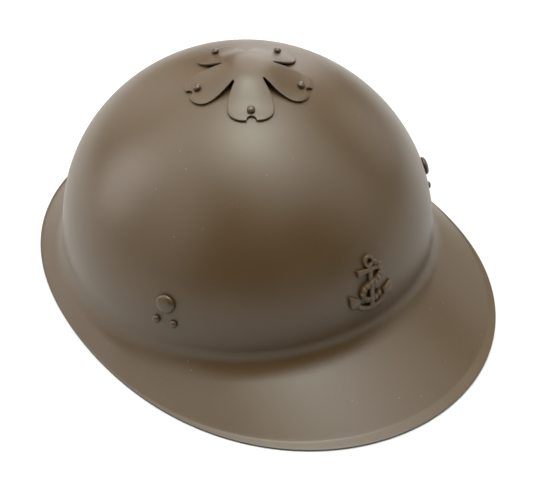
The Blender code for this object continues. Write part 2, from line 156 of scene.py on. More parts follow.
# Bars of the anchor along their middle lines.
# Columns: across, up, half width, as shares of BADGE_SIZE, then relief as a share of BADGE_RELIEF.
ANCHOR_SHANK = [
    (0.00, -0.45, 0.055, 0.8),
    (0.00, -0.22, 0.048, 0.8),
    (0.00, 0.00, 0.044, 0.8),
    (0.00, 0.18, 0.040, 0.8),
    (0.00, 0.34, 0.036, 0.7),
]
ANCHOR_STOCK = [
    (-0.26, 0.26, 0.060, 0.9),
    (-0.20, 0.26, 0.048, 0.8),
    (-0.08, 0.26, 0.040, 0.8),
    (0.08, 0.26, 0.040, 0.8),
    (0.20, 0.26, 0.048, 0.8),
    (0.26, 0.26, 0.060, 0.9),
]
ANCHOR_ROPE = [
    (0.06, 0.38, 0.036, 0.8),
    (0.17, 0.32, 0.040, 0.9),
    (0.21, 0.17, 0.040, 0.9),
    (0.11, 0.06, 0.040, 1.1),
    (-0.03, 0.01, 0.040, 1.2),
    (-0.16, -0.05, 0.040, 1.0),
    (-0.20, -0.17, 0.040, 0.9),
    (-0.10, -0.27, 0.040, 1.1),
    (0.05, -0.28, 0.040, 1.1),
    (0.18, -0.20, 0.036, 0.9),
]

# A fluke at the end of each arm.
# Columns: place along the fluke, half width and relief, as shares of its length, its half width
# and BADGE_RELIEF.
ANCHOR_FLUKE = [
    (-0.45, 0.35, 0.8),
    (-0.15, 1.00, 1.0),
    (0.30, 0.55, 0.9),
    (0.60, 0.08, 0.7),
]
ARM_RADIUS = 0.43
ARM_CENTRE_UP = -0.02
ARM_SWEEP = math.radians(58.0)
ARM_HALF_WIDTH = 0.050
ARM_RELIEF = 0.9
FLUKE_LENGTH = 0.27
FLUKE_HALF_WIDTH = 0.105
RING_RADIUS = 0.080
RING_CENTRE_UP = 0.41
RING_HALF_WIDTH = 0.030
RING_RELIEF = 0.8

# A bar's section: how deep its foot is sunk, as a share of BADGE_RELIEF, how high its shoulders
# stand, as a share of its own height, and the power of the sine that rounds its back
BAR_SINK = 0.2
BAR_SHOULDER = 0.55
BAR_POWER = 0.6

# The laid rope: its strands, and the mean and the swell of its width and height
ROPE_STRANDS = 16
ROPE_MEAN = 1.1
ROPE_SWELL = 0.16

# Fineness of the meshes
SHELL_SIDES = 240
BOWL_ROWS = 70
FILLET_ROWS = 14
BRIM_ROWS = 18
BEND_ROWS = 3
LIP_ROWS = 7
LOBE_STEPS = 7
ROOT_STEPS = 4
NOTCH_STEPS = 7
COVER_RINGS = 22
HEAD_SIDES = 48
DOME_ROWS = 10
HOLE_SIDES = 24
BAR_STEPS = 6
BAR_BACK = 10
ARM_STEPS = 8
RING_STEPS = 10
WRAP_STEPS = 6
BADGE_VOXEL = 0.14 * MM
BADGE_SMOOTHING = 0.5
CUTTER_REACH = 12.0 * MM
SHARP_ANGLE = math.radians(40.0)

# Slow unevenness of the pressed sheet
WAVE_HEIGHT = 0.10 * MM
WAVE_LENGTH = 55.0 * MM

# Paint, linear RGB
PAINT_DARK = (0.066, 0.037, 0.014)
PAINT_MIDDLE = (0.074, 0.043, 0.017)
PAINT_LIGHT = (0.083, 0.050, 0.022)
# The darkest paint: the dark end of the rivets' clouds, and the painted shade on the rim's cut edge
EDGE_SHADE_AND_DARKEST_PAINT = (0.020, 0.013, 0.008)
SPECK_COLOUR = (0.30, 0.26, 0.21)

# Noise of the paint: size, detail and roughness
CLOUD_NOISE = (60.0 * MM, 4.0, 0.5)
GRAIN_NOISE = (1.6 * MM, 3.0, 0.6)
PEEL_NOISE = (2.2 * MM, 2.0, 0.5)

# What shows in the paint: the values between which it fades in, and its strength
CLOUD_RANGE = (0.3, 0.7)
MIDDLE_STRENGTH = 0.5
GRAIN_RANGE = (0.42, 0.75)
GRAIN_STRENGTH = 0.35
SPECK_SPACING = 9.0 * MM
SPECK_RANGE = (0.03, 0.05)
SPECK_STRENGTH = 0.35
PEEL_DEPTH = 0.05 * MM
PEEL_STRENGTH = 0.18
PAINT_IOR = 1.5

# Roughness of each paint, and how far the clouds lower and raise it
SHELL_ROUGHNESS = 0.38
COVER_ROUGHNESS = 0.37
RIVET_ROUGHNESS = 0.29
BADGE_ROUGHNESS = 0.40
SMOOTHER = 0.03
ROUGHER = 0.04

# Heights between which the painted shade on the rim's cut edge fades from dark to the paint's own colour,
# and how strong that painted shade is
EDGE_SHADE_LOW = 1.0 * MM
EDGE_SHADE_HIGH = 1.3 * MM
EDGE_SHADE_STRENGTH = 0.85

# Camera: where it stands, where it looks along, and its lens
CAMERA_PLACE = Vector((-0.30772, -0.39853, 0.47344))
CAMERA_AZIMUTH = math.radians(-38.33)
CAMERA_ELEVATION = math.radians(42.74)
CAMERA_LENS = 79.107
CAMERA_SENSOR = 36.0

# Round soft boxes, all at the same distance, each turned towards the helmet.
# Columns: name, azimuth and elevation in degrees, diameter, watts.
LIGHTS = [
    ("glint", 142.0, 87.0, 0.5, 5.6),
    ("top_front", 0.0, 82.0, 0.9, 2.0),
    ("top_left", 90.0, 82.0, 0.9, 3.2),
    ("top_rear", 180.0, 82.0, 0.9, 3.6),
    ("top_right", -90.0, 82.0, 0.9, 2.2),
    ("high_front", 0.0, 64.0, 0.9, 4.1),
    ("high_front_left", 60.0, 64.0, 0.9, 4.0),
    ("high_rear_left", 120.0, 64.0, 0.9, 4.0),
    ("high_rear", 180.0, 64.0, 0.9, 2.9),
    ("high_rear_right", -120.0, 64.0, 0.9, 2.6),
    ("middle_right", -90.0, 42.0, 0.9, 2.5),
    ("middle_rear_right", -135.0, 42.0, 0.9, 5.6),
    ("middle_rear", 180.0, 42.0, 0.9, 2.1),
    ("middle_rear_left", 135.0, 42.0, 0.9, 4.2),
    ("middle_front_left", 45.0, 42.0, 0.9, 2.6),
    ("low_right", -90.0, 18.0, 0.9, 1.8),
    ("low_rear_right", -135.0, 18.0, 0.9, 7.4),
    ("low_rear", 180.0, 18.0, 0.9, 2.4),
    ("low_rear_left", 135.0, 18.0, 0.9, 5.5),
    ("low_left", 90.0, 18.0, 0.9, 2.6),
    ("low_front_left", 45.0, 18.0, 0.9, 1.4),
]
AIM = Vector((0.0, 0.0, 60.0 * MM))
LIGHT_DISTANCE = 1.5
TOP_LIGHTS_FROM = 80.0
TOP_TINT = (0.95, 1.02, 0.93)
WORLD_FILL = 0.01

# Floor, and the distances between which it turns from a lit surface to plain white
FLOOR_HALF_SIDE = 4.0
FLOOR_DROP = 0.1 * MM
FLOOR_GREY = 0.66
FLOOR_ROUGHNESS = 0.9
FLOOR_NEAR = 0.35
FLOOR_FAR = 0.9


# Bowl surface


def plan_point(angle):
    return Vector((HALF_WIDTH * math.sin(angle), -HALF_LENGTH * math.cos(angle), 0.0))


def plan_normal(angle):
    return Vector((math.sin(angle) / HALF_WIDTH, -math.cos(angle) / HALF_LENGTH, 0.0)).normalized()


def bowl_share(height):
    rise = min(1.0, max(0.0, height - WIDEST_HEIGHT) / CROWN_RISE)
    return (1.0 - rise**CROWN_POWER) ** (1.0 / SIDE_POWER)


def bowl_point(angle, height):
    point = plan_point(angle) * bowl_share(height)
    point.z = height
    return point


def crown_point(x, y):
    share = min(1.0, math.hypot(x / HALF_WIDTH, y / HALF_LENGTH))
    rise = (1.0 - share**SIDE_POWER) ** (1.0 / CROWN_POWER)
    return Vector((x, y, WIDEST_HEIGHT + CROWN_RISE * rise))


def bowl_normal(point):
    share = math.hypot(point.x / HALF_WIDTH, point.y / HALF_LENGTH)
    rise = max(0.0, point.z - WIDEST_HEIGHT) / CROWN_RISE
    spread = SIDE_POWER * share ** (SIDE_POWER - 2.0) if share > 0.0 else 0.0
    across = spread * point.x / HALF_WIDTH**2
    ahead = spread * point.y / HALF_LENGTH**2
    upward = CROWN_POWER * rise ** (CROWN_POWER - 1.0) / CROWN_RISE
    return Vector((across, ahead, upward)).normalized()


def seat_frame(point):
    """Axes on the bowl: X level, Y up the wall and Z straight out, with the origin at the point."""
    out = bowl_normal(point)
    level = Vector((0.0, 0.0, 1.0)).cross(out)
    if level.length == 0.0:
        level = Vector((1.0, 0.0, 0.0))
    level.normalize()
    seat = Matrix((level, out.cross(level), out)).transposed().to_4x4()
    seat.translation = point
    return seat


# Mesh tools


def bridge(bm, upper, lower):
    count = len(upper)
    for i in range(count):
        j = (i + 1) % count
        bm.faces.new((upper[i], upper[j], lower[j], lower[i]))


def fan(bm, centre, ring):
    count = len(ring)
    for i in range(count):
        bm.faces.new((centre, ring[i], ring[(i + 1) % count]))


def turned(bm, profile, seat, sides):
    """A solid turned about the seat's Z axis; the profile's ends lie on the axis."""
    ends = [bm.verts.new(seat @ Vector((0.0, 0.0, profile[k][1]))) for k in (0, -1)]
    rings = []
    for radius, height in profile[1:-1]:
        turns = [2.0 * math.pi * i / sides for i in range(sides)]
        spots = [Vector((radius * math.cos(turn), radius * math.sin(turn), height)) for turn in turns]
        rings.append([bm.verts.new(seat @ spot) for spot in spots])
    fan(bm, ends[0], rings[0])
    for upper, lower in zip(rings, rings[1:]):
        bridge(bm, upper, lower)
    fan(bm, ends[1], rings[-1])


def new_object(name, bm):
    """A mesh object of the shared frame, from a bmesh made about the bowl's axis."""
    bmesh.ops.recalc_face_normals(bm, faces=bm.faces)
    bmesh.ops.translate(bm, vec=BOWL_AXIS, verts=bm.verts)
    mesh = bpy.data.meshes.new(name)
    bm.to_mesh(mesh)
    bm.free()
    mesh.shade_smooth()
    mesh.set_sharp_from_angle(angle=SHARP_ANGLE)
    made = bpy.data.objects.new(name, mesh)
    bpy.context.scene.collection.objects.link(made)
    return made


def apply_modifiers(made):
    graph = bpy.context.evaluated_depsgraph_get()
    mesh = bpy.data.meshes.new_from_object(made.evaluated_get(graph))
    made.modifiers.clear()
    made.data = mesh
    mesh.shade_smooth()
    mesh.set_sharp_from_angle(angle=SHARP_ANGLE)


def cut_holes(made, bm):
    """Cut a bmesh of round plugs out of an object."""
    plugs = new_object(made.name + "_plugs", bm)
    modifier = made.modifiers.new("Holes", "BOOLEAN")
    modifier.operation = "DIFFERENCE"
    modifier.solver = "EXACT"
    modifier.object = plugs
    apply_modifiers(made)
    bpy.data.objects.remove(plugs, do_unlink=True)


def dress(made, node, material):
    """Let a fine piece stand for its frame node."""
    made.data.materials.clear()
    made.data.materials.append(material)
    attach(made, "root")
    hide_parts(node)


# Shell


def between_three(angle, front, side, rear):
    middle = (front + rear) / 4.0 + side / 2.0
    swing = (front + rear) / 4.0 - side / 2.0
    return middle + (front - rear) / 2.0 * math.cos(angle) + swing * math.cos(2.0 * angle)


def bent(before, corner, after, steps):
    """A quadratic curve from one point to another, bent towards the corner between them."""
    shares = [step / steps for step in range(1, steps + 1)]
    return [before * (1.0 - t) ** 2 + corner * 2.0 * t * (1.0 - t) + after * t**2 for t in shares]


def brim_reach(angle):
    """How far the brim reaches out from the bowl, a hair inside the frame's faceted rim."""
    reach = between_three(angle, VISOR_DEPTH, SIDE_BRIM, REAR_BRIM)
    return reach + VISOR_TAPER * (math.cos(3.0 * angle) - math.cos(angle)) - RIM_EASE


def shell_profile(angle):
    """Points down the outer face at one angle, from below the crown to the top of the rim's edge."""
    reach = brim_reach(angle)
    crease_height = between_three(angle, CREASE_FRONT, CREASE_SIDE, CREASE_FRONT)
    lip = LIP_WIDTH * (reach / VISOR_DEPTH) ** LIP_FADE
    outward = plan_normal(angle)
    crease = plan_point(angle)
    lip_start = crease + outward * (reach - lip)
    lip_start.z = SHEET + lip * math.tan(LIP_SLOPE)
    crease.z = crease_height
    edge = plan_point(angle) + outward * reach
    edge.z = SHEET
    slope = lip_start - crease
    leg = min(CREASE_FILLET, FILLET_LIMIT * slope.length)

    # Bowl rows, closer together where the crown turns down into the wall
    wall_foot = crease_height + leg
    top = WIDEST_HEIGHT + CROWN_RISE
    points = []
    for row in range(1, BOWL_ROWS + 1):
        turn = 0.5 * math.pi * row / BOWL_ROWS
        drop = 1.0 - max(0.0, math.cos(turn)) ** (2.0 / CROWN_POWER)
        points.append(bowl_point(angle, top - (top - wall_foot) * drop))

    # Fillet, brim with its slight crown, bend into the lip, and the lip
    brim_start = crease + slope.normalized() * leg
    points += bent(points[-1], crease, brim_start, FILLET_ROWS)
    bend = min(LIP_BEND, LIP_BEND_LIMIT * lip)
    bend_start = lip_start - slope.normalized() * bend
    bend_end = lip_start + (edge - lip_start).normalized() * bend
    for row in range(1, BRIM_ROWS + 1):
        share = row / BRIM_ROWS
        point = brim_start.lerp(bend_start, share)
        point.z += BRIM_CROWN * reach / VISOR_DEPTH * 4.0 * share * (1.0 - share)
        points.append(point)
    points += bent(bend_start, lip_start, bend_end, BEND_ROWS)
    shoulder = edge - (edge - lip_start).normalized() * RIM_ROUND
    points += [bend_end.lerp(shoulder, row / LIP_ROWS) for row in range(1, LIP_ROWS + 1)]
    return points


def rim_section(angle):
    """Points round the rim's edge, from its rounded top to the inner side of its foot."""
    outward = plan_normal(angle)
    edge = plan_point(angle) + outward * brim_reach(angle)
    corners = [(RIM_ROUND * inward, SHEET - RIM_ROUND * drop) for inward, drop in RIM_TOP]
    corners += [(RIM_ROUND * inward, RIM_ROUND * rise) for inward, rise in RIM_BOTTOM]
    corners.append((RIM_FOOT, 0.0))
    return [edge - outward * inward + Vector((0.0, 0.0, height)) for inward, height in corners]


def sheet_wave(point, share):
    """Slow unevenness of the pressed sheet, fading out towards the rim."""
    return WAVE_HEIGHT * share * noise.noise(point / WAVE_LENGTH)


def make_shell(material, holes):
    bm = bmesh.new()
    angles = [2.0 * math.pi * i / SHELL_SIDES for i in range(SHELL_SIDES)]
    profiles = [shell_profile(angle) for angle in angles]
    rows = len(profiles[0])
    top = bm.verts.new((0.0, 0.0, WIDEST_HEIGHT + CROWN_RISE))
    outer = [[bm.verts.new(profile[row]) for profile in profiles] for row in range(rows)]
    fan(bm, top, outer[0])
    for upper, lower in zip(outer, outer[1:]):
        bridge(bm, upper, lower)
    bmesh.ops.recalc_face_normals(bm, faces=bm.faces)
    bm.normal_update()
    if top.normal.z < 0.0:
        bmesh.ops.reverse_faces(bm, faces=bm.faces)
        bm.normal_update()

    # The inner face follows the outer one, a sheet's thickness inside it
    inner_top = bm.verts.new(top.co - top.normal * SHEET)
    inner = [[bm.verts.new(v.co - v.normal * SHEET) for v in ring] for ring in outer[:-LIP_ROWS]]
    fan(bm, inner_top, inner[0])
    for upper, lower in zip(inner, inner[1:]):
        bridge(bm, upper, lower)
    for k, ring in enumerate(outer[:-LIP_ROWS]):
        share = min(1.0, (len(inner) - k) / BRIM_ROWS)
        for outside, inside in zip(ring, inner[k]):
            shift = outside.normal * sheet_wave(outside.co, share)
            outside.co += shift
            inside.co += shift

    # Rim
    sections = [rim_section(angle) for angle in angles]
    rim = [[bm.verts.new(section[row]) for section in sections] for row in range(len(sections[0]))]
    bridge(bm, outer[-1], rim[0])
    for upper, lower in zip(rim, rim[1:]):
        bridge(bm, upper, lower)
    bridge(bm, rim[-1], inner[-1])
    shell = new_object("shell_fine", bm)
    cut_holes(shell, holes)
    dress(shell, "shell", material)


# Rivets


def head_profile(radius, height, base, flat):
    """A turned head: a dome, flatter where flat is higher, that rolls over to a low rim."""
    rim = HEAD_RIM * height
    points = []
    for row in range(DOME_ROWS + 1):
        turn = 0.5 * math.pi * row / DOME_ROWS
        out = math.sin(turn) ** (1.0 / flat)
        points.append((radius * out, base + rim + (height - rim) * math.cos(turn)))
    return points + [(radius * out, base + rim * rise) for out, rise in HEAD_FOOT]


def add_rivet(node, seat, stack, kind, material):
    """A rivet through the sheet at a seat, over a stack of other sheets of that thickness."""
    (head_radius, head_height, flat), shank_radius, tail_radius = kind
    base = stack + CLEARANCE
    profile = head_profile(head_radius, head_height, base, flat)
    tail_top = -(SHEET + TAIL_SEAT)
    profile += [(shank_radius, base), (shank_radius, tail_top)]
    profile += [(tail_radius * out, tail_top - TAIL_HEIGHT * depth) for out, depth in RIVET_TAIL]
    bm = bmesh.new()
    turned(bm, profile, seat, HEAD_SIDES)
    dress(new_object(node + "_fine", bm), node, material)


def hole(bm, seat, radius):
    ends = [(0.0, CUTTER_REACH), (radius, CUTTER_REACH), (radius, -CUTTER_REACH), (0.0, -CUTTER_REACH)]
    turned(bm, ends, seat, HOLE_SIDES)


def cover_frames(circle, half_step):
    frames = []
    for k in range(PETALS):
        turn = COVER_TURN + 2.0 * math.pi * (k + half_step) / PETALS
        point = crown_point(circle * math.sin(turn), -COVER_FORWARD - circle * math.cos(turn))
        frames.append(seat_frame(point))
    return frames


def strap_frames(angle, height):
    middle = seat_frame(bowl_point(angle, height))
    frames = []
    for side in (-0.5, 0.5):
        spot = middle @ Vector((side * STRAP_RIVET_SPACING, 0.0, 0.0))
        turn = math.atan2(spot.x / HALF_WIDTH, -spot.y / HALF_LENGTH)
        frames.append(seat_frame(bowl_point(turn, spot.z)))
    return frames


def cover_lift(distance):
    share = min(1.0, max(0.0, (distance - HUB_TOP_RADIUS) / (HUB_FOOT_RADIUS - HUB_TOP_RADIUS)))
    return COVER_SEAT + HUB_RISE * (1.0 - share * share * (3.0 - 2.0 * share))


def make_rivets(material):
    """All rivets; gives back the plugs that cut their holes, for the shell and for the cover."""
    shell_holes = bmesh.new()
    cover_holes = bmesh.new()
    small_head = (SMALL_HEAD_RADIUS, SMALL_HEAD_HEIGHT, SMALL_HEAD_FLATNESS)
    large_head = (LARGE_HEAD_RADIUS, LARGE_HEAD_HEIGHT, LARGE_HEAD_FLATNESS)
    small = (small_head, SMALL_SHANK_RADIUS, SMALL_TAIL_RADIUS)
    large = (large_head, LARGE_SHANK_RADIUS, LARGE_TAIL_RADIUS)
    small_hole = SMALL_SHANK_RADIUS + CLEARANCE
    large_hole = LARGE_SHANK_RADIUS + CLEARANCE
    stack = cover_lift(RIVET_CIRCLE - SMALL_HEAD_RADIUS) + COVER_SHEET
    for k, seat in enumerate(cover_frames(RIVET_CIRCLE, 0.5)):
        node = "vent_rivet_" + str(k + 1)
        add_rivet(node, seat, stack, small, material)
        hole(shell_holes, seat, small_hole)
        hole(cover_holes, seat, small_hole)
    for seat in cover_frames(VENT_CIRCLE, 0.0):
        hole(shell_holes, seat, VENT_RADIUS)

    # Four groups on the wall: one large lining rivet and two small strap rivets below it,
    # which stand lower and nearer the front in the rear groups
    front = (FRONT_GROUP_ANGLE, FRONT_GROUP_ANGLE, STRAP_RIVET_HEIGHT)
    rear = (REAR_LINER_ANGLE, REAR_STRAP_ANGLE, REAR_STRAP_HEIGHT)
    groups = [("front_right", -1.0, front), ("front_left", 1.0, front)]
    groups += [("rear_right", -1.0, rear), ("rear_left", 1.0, rear)]
    for place, side, (angle, strap_angle, strap_height) in groups:
        seat = seat_frame(bowl_point(side * angle, LINER_RIVET_HEIGHT))
        add_rivet("liner_rivet_" + place, seat, 0.0, large, material)
        hole(shell_holes, seat, large_hole)
        for k, seat in enumerate(strap_frames(side * strap_angle, strap_height)):
            node = "strap_rivet_" + place + "_" + str(k + 1)
            add_rivet(node, seat, 0.0, small, material)
            hole(shell_holes, seat, small_hole)
    return shell_holes, cover_holes


# Vent cover


def curve_between(before, start, end, after, steps):
    """Points of a Catmull-Rom curve from start up to, but not including, end."""
    points = []
    for step in range(steps):
        t = step / steps
        point = []
        for a, b, c, d in zip(before, start, end, after):
            square = 2 * a - 5 * b + 4 * c - d
            cube = 3 * b - a - 3 * c + d
            point.append(0.5 * (2 * b + (c - a) * t + square * t**2 + cube * t**3))
        points.append(tuple(point))
    return points


def half_petal(gap_end):
    """Half a petal's outline in shares of RIVET_CIRCLE, from a gap's root to the notch's top."""
    half_step = math.pi / PETALS
    ahead = Vector((math.cos(half_step), math.sin(half_step)))
    aside = Vector((math.sin(half_step), -math.cos(half_step)))
    root = ahead * (gap_end + GAP_ROOT)
    points = []
    for step in range(ROOT_STEPS):
        turn = 0.5 * math.pi * step / ROOT_STEPS
        points.append(tuple(root + (aside * math.sin(turn) - ahead * math.cos(turn)) * GAP_ROOT))
    side = tuple(root + aside * GAP_ROOT)
    row = [points[-1], side, *PETAL_LOBE, PETAL_CORNER]
    for k in range(1, len(row) - 2):
        points += curve_between(row[k - 1], row[k], row[k + 1], row[k + 2], LOBE_STEPS)
    points += [PETAL_LOBE[-1], *NOTCH_CORNER]
    for step in range(1, NOTCH_STEPS + 1):
        turn = 0.5 * math.pi * (1.0 - step / NOTCH_STEPS)
        points.append((NOTCH_CENTRE - NOTCH_RADIUS * math.cos(turn), NOTCH_RADIUS * math.sin(turn)))
    return points


def cover_outline():
    """Closed outline of the cover in plan, about its own centre, as turns and distances."""
    outline = []
    for k in range(PETALS):
        before = half_petal(GAP_ENDS[k])
        after = half_petal(GAP_ENDS[(k + 1) % PETALS])
        petal = [(out, -off) for out, off in before] + list(reversed(after[1:-1]))
        axis = COVER_TURN + 2.0 * math.pi * (k + 0.5) / PETALS
        for out, off in petal:
            turn = axis + math.atan2(off, out)
            outline.append((turn, math.hypot(out, off) * RIVET_CIRCLE))
    return outline


def inset(outline, depth):
    """Move each point of a polar outline into the sheet, square to the outline."""
    spots = [Vector((radius * math.cos(turn), radius * math.sin(turn))) for turn, radius in outline]
    moved = []
    count = len(spots)
    for i, spot in enumerate(spots):
        along = (spots[(i + 1) % count] - spots[i - 1]).normalized()
        place = spot + Vector((-along.y, along.x)) * depth
        moved.append((math.atan2(place.y, place.x), place.length))
    return moved


def cover_point(turn, distance, lift):
    base = crown_point(distance * math.sin(turn), -COVER_FORWARD - distance * math.cos(turn))
    return base + bowl_normal(base) * (cover_lift(distance) + lift)


def make_cover(material, holes):
    bm = bmesh.new()
    outline = cover_outline()
    shoulder = inset(outline, COVER_EDGE)
    turn_in = COVER_EDGE * COVER_EDGE_TURN
    slope = inset(outline, turn_in)
    faces = []
    for lift in (COVER_SHEET, 0.0):
        centre = bm.verts.new(cover_point(0.0, 0.0, lift))
        rings = []
        for k in range(1, COVER_RINGS + 1):
            share = k / COVER_RINGS
            spots = [cover_point(turn, radius * share, lift) for turn, radius in shoulder]
            rings.append([bm.verts.new(spot) for spot in spots])
        fan(bm, centre, rings[0])
        for upper, lower in zip(rings, rings[1:]):
            bridge(bm, upper, lower)
        faces.append(rings[-1])
    edge = [(slope, COVER_SHEET - turn_in), (outline, COVER_SHEET - COVER_EDGE)]
    edge += [(outline, COVER_EDGE), (slope, turn_in)]
    previous = faces[0]
    for ring, lift in edge:
        current = [bm.verts.new(cover_point(turn, radius, lift)) for turn, radius in ring]
        bridge(bm, previous, current)
        previous = current
    bridge(bm, previous, faces[1])
    cover = new_object("vent_cover_fine", bm)
    cut_holes(cover, holes)
    dress(cover, "vent_cover", material)


# Anchor badge


def smooth_stations(stations, closed):
    count = len(stations)
    if closed:
        picks = [[stations[(k + shift) % count] for shift in (-1, 0, 1, 2)] for k in range(count)]
    else:
        padded = [stations[0], *stations, stations[-1]]
        picks = [padded[k : k + 4] for k in range(count - 1)]
    points = []
    for pick in picks:
        points += curve_between(*pick, BAR_STEPS)
    if not closed:
        points.append(stations[-1])
    return points


def bar(bm, stations, closed=False, strands=0):
    """A round-backed bar along a row of stations; strands gives it the swell of laid rope."""
    row = smooth_stations(stations, closed)
    count = len(row)
    rings = []
    for i, (across, up, half, relief) in enumerate(row):
        before = row[i - 1] if closed or i > 0 else row[0]
        after = row[(i + 1) % count] if closed or i < count - 1 else row[-1]
        along = Vector((after[0] - before[0], after[1] - before[1])).normalized()
        side = Vector((-along.y, along.x)) * half * BADGE_SIZE
        middle = Vector((across, up)) * BADGE_SIZE
        swell = 1.0
        if strands:
            swell = ROPE_MEAN + ROPE_SWELL * math.cos(2.0 * math.pi * strands * i / count)
        ring = [bm.verts.new((*(middle - side), -BAR_SINK * BADGE_RELIEF))]
        for step in range(BAR_BACK + 1):
            turn = math.pi * step / BAR_BACK
            spot = middle - side * swell * math.cos(turn)
            height = BAR_SHOULDER + (1.0 - BAR_SHOULDER) * math.sin(turn) ** BAR_POWER
            ring.append(bm.verts.new((spot.x, spot.y, relief * BADGE_RELIEF * height * swell)))
        ring.append(bm.verts.new((*(middle + side), -BAR_SINK * BADGE_RELIEF)))
        rings.append(ring)
    for first, second in zip(rings, rings[1:]):
        bridge(bm, first, second)
    if closed:
        bridge(bm, rings[-1], rings[0])
    else:
        bm.faces.new(rings[0])
        bm.faces.new(rings[-1])


def arm_stations():
    stations = []
    for i in range(ARM_STEPS + 1):
        turn = ARM_SWEEP * (2.0 * i / ARM_STEPS - 1.0)
        up = ARM_CENTRE_UP - ARM_RADIUS * math.cos(turn)
        stations.append((ARM_RADIUS * math.sin(turn), up, ARM_HALF_WIDTH, ARM_RELIEF))
    return stations


def fluke_stations(side):
    root = Vector((ARM_RADIUS * math.sin(ARM_SWEEP), ARM_CENTRE_UP - ARM_RADIUS * math.cos(ARM_SWEEP)))
    along = Vector((math.cos(ARM_SWEEP), math.sin(ARM_SWEEP))) * FLUKE_LENGTH
    stations = []
    for share, width, relief in ANCHOR_FLUKE:
        spot = root + along * share
        stations.append((side * spot.x, spot.y, FLUKE_HALF_WIDTH * width, relief))
    return stations


def ring_stations():
    stations = []
    for i in range(RING_STEPS):
        turn = 2.0 * math.pi * i / RING_STEPS
        up = RING_CENTRE_UP + RING_RADIUS * math.cos(turn)
        stations.append((RING_RADIUS * math.sin(turn), up, RING_HALF_WIDTH, RING_RELIEF))
    return stations


def wrap_on_bowl(spot, seat):
    """Lay a flat badge's point on the bowl, straight in along the seat's own axis."""
    flat = seat @ Vector((spot.x, spot.y, 0.0))
    out = seat.to_3x3() @ Vector((0.0, 0.0, 1.0))
    base = flat.copy()
    for _ in range(WRAP_STEPS):
        share = math.hypot(base.x / HALF_WIDTH, base.y / HALF_LENGTH)
        base -= out * (share - bowl_share(base.z)) * HALF_LENGTH
    return base + bowl_normal(base) * (CLEARANCE + spot.z)


def make_badge(material):
    bm = bmesh.new()
    bar(bm, ANCHOR_SHANK)
    bar(bm, ANCHOR_STOCK)
    bar(bm, arm_stations())
    bar(bm, fluke_stations(-1.0))
    bar(bm, fluke_stations(1.0))
    bar(bm, ring_stations(), closed=True)
    bar(bm, ANCHOR_ROPE, strands=ROPE_STRANDS)
    badge = new_object("anchor_badge_fine", bm)
    modifier = badge.modifiers.new("Remesh", "REMESH")
    modifier.mode = "VOXEL"
    modifier.voxel_size = BADGE_VOXEL
    smooth = badge.modifiers.new("Smooth", "SMOOTH")
    smooth.factor = BADGE_SMOOTHING
    apply_modifiers(badge)
    seat = seat_frame(bowl_point(0.0, BADGE_HEIGHT)) @ Matrix.Rotation(-BADGE_TILT, 4, "Z")
    for vertex in badge.data.vertices:
        spot = vertex.co - BOWL_AXIS
        spot.z = max(spot.z, 0.0)
        vertex.co = wrap_on_bowl(spot, seat) + BOWL_AXIS
    dress(badge, "anchor_badge", material)


# Materials


def add_node(tree, kind, settings=None, inputs=None):
    node = tree.nodes.new(kind)
    for key, value in (settings or {}).items():
        setattr(node, key, value)
    for key, value in (inputs or {}).items():
        if isinstance(value, bpy.types.NodeSocket):
            tree.links.new(value, node.inputs[key])
        else:
            node.inputs[key].default_value = value
    return node


def noise_at(tree, place, size, detail, roughness):
    inputs = {"Vector": place, "Scale": 1.0 / size, "Detail": detail, "Roughness": roughness}
    return add_node(tree, "ShaderNodeTexNoise", inputs=inputs).outputs["Fac"]


def spread(tree, value, low, high, to_low, to_high):
    settings = {"interpolation_type": "SMOOTHSTEP"}
    inputs = {"Value": value, "From Min": low, "From Max": high, "To Min": to_low, "To Max": to_high}
    return add_node(tree, "ShaderNodeMapRange", settings, inputs).outputs["Result"]


def mixed(tree, factor, first, second):
    node = add_node(tree, "ShaderNodeMix", {"data_type": "RGBA"})
    for key, value in ((0, factor), (6, first), (7, second)):
        if isinstance(value, bpy.types.NodeSocket):
            tree.links.new(value, node.inputs[key])
        elif isinstance(value, tuple):
            node.inputs[key].default_value = (*value, 1.0)
        else:
            node.inputs[key].default_value = value
    return node.outputs[2]


